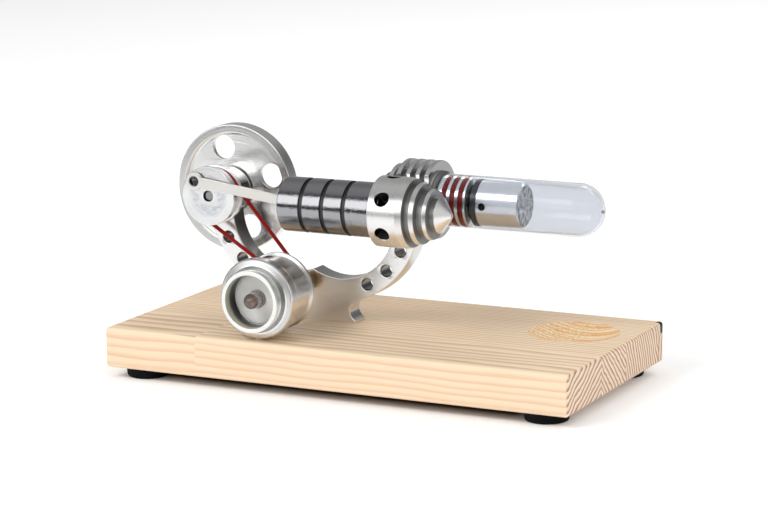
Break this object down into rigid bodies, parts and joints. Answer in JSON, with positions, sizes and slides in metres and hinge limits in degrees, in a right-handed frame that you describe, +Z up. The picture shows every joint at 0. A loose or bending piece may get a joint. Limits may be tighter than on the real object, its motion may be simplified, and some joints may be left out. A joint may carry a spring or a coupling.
{
  "type": "stirling engine",
  "caption": "Hot-air engine on a wooden board: glass displacer tube, finned cooler, power cylinder, crank, flywheel and a belt-driven lamp generator",
  "frame": {"origin": "middle of the board, level with the underside of the feet", "axes": "+X along the board to the hot end, +Y away from the lamp side, +Z up"},
  "size_m": [0.16, 0.0813, 0.077],
  "materials": {
    "pine": "oiled, smooth",
    "rubber": "matt",
    "plate_aluminium": "satin, bevelled edges",
    "turned_aluminium": "finely turned",
    "bright_steel": "bright",
    "satin_steel": "satin",
    "dark_steel": "blackened",
    "dark_chrome": "polished",
    "brass": "satin",
    "red_rubber": "matt",
    "clear_glass": "clear",
    "white_plastic": "matt",
    "lamp_resin": "clear resin"
  },
  "bodies": {
    "root": {"base_board": "pine", "rubber_feet": "rubber", "foot_screws": "dark_steel", "frame_plate": "plate_aluminium", "frame_screws": "bright_steel", "shaft_bearings": "bright_steel", "transfer_tube": "bright_steel", "locating_pins": "bright_steel", "power_cylinder": "dark_chrome", "power_cap": "turned_aluminium", "displacer_heatsink": "turned_aluminium", "guide_bush": "brass", "tube_seals": "red_rubber", "glass_tube": "clear_glass", "generator_housing": "turned_aluminium", "generator_bezel": "turned_aluminium", "generator_rear_cover": "turned_aluminium", "generator_motor": "bright_steel", "motor_clamp_screw": "dark_steel", "generator_screw": "bright_steel", "led_holder": "white_plastic", "led_lamp": "lamp_resin", "led_leads": "bright_steel", "drive_belt": "red_rubber"},
    "crankshaft": {"crankshaft": "bright_steel", "crank_disc": "turned_aluminium", "disc_set_screw": "dark_steel", "shaft_spacers": "bright_steel", "flywheel": "turned_aluminium", "flywheel_set_screw": "dark_steel"},
    "generator_rotor": {"motor_shaft": "bright_steel", "drive_pulley": "brass"},
    "power_piston": {"power_piston": "bright_steel", "wrist_pin": "bright_steel"},
    "power_rod": {"power_rod": "satin_steel", "crank_pin_screw": "dark_steel"},
    "displacer": {"displacer_can": "bright_steel", "displacer_plug": "dark_steel", "displacer_rod": "bright_steel", "rod_clevis": "bright_steel", "clevis_pin": "bright_steel"},
    "displacer_link": {"displacer_link": "satin_steel", "link_pin_screw": "dark_steel"}
  },
  "joints": [
    {"name": "crank_spin", "type": "hinge", "parent": "root", "child": "crankshaft", "pos_m": [-0.0575, 0, 0.056], "axis": [0, 1, 0], "continuous": true},
    {"name": "generator_spin", "type": "hinge", "parent": "root", "child": "generator_rotor", "pos_m": [-0.0267, -0.01, 0.0295], "axis": [0, 1, 0], "continuous": true},
    {"name": "power_piston_slide", "type": "slide", "parent": "root", "child": "power_piston", "axis": [1, 0, 0], "range_m": [-0.00192, 0.01088]},
    {"name": "power_rod_swing", "type": "hinge", "parent": "power_piston", "child": "power_rod", "pos_m": [-0.02398, -0.0125, 0.056], "axis": [0, 1, 0], "range_deg": [-17.03, 2.36]},
    {"name": "displacer_slide", "type": "slide", "parent": "root", "child": "displacer", "axis": [1, 0, 0], "range_m": [-0.00107, 0.00893]},
    {"name": "displacer_link_swing", "type": "hinge", "parent": "displacer", "child": "displacer_link", "pos_m": [-0.02343, 0.0125, 0.056], "axis": [0, 1, 0], "range_deg": [-2.64, 12.48]}
  ],
  "couplings": [
    {"joint": "generator_spin", "follows": "crank_spin", "ratio": 3.2037}
  ]
}
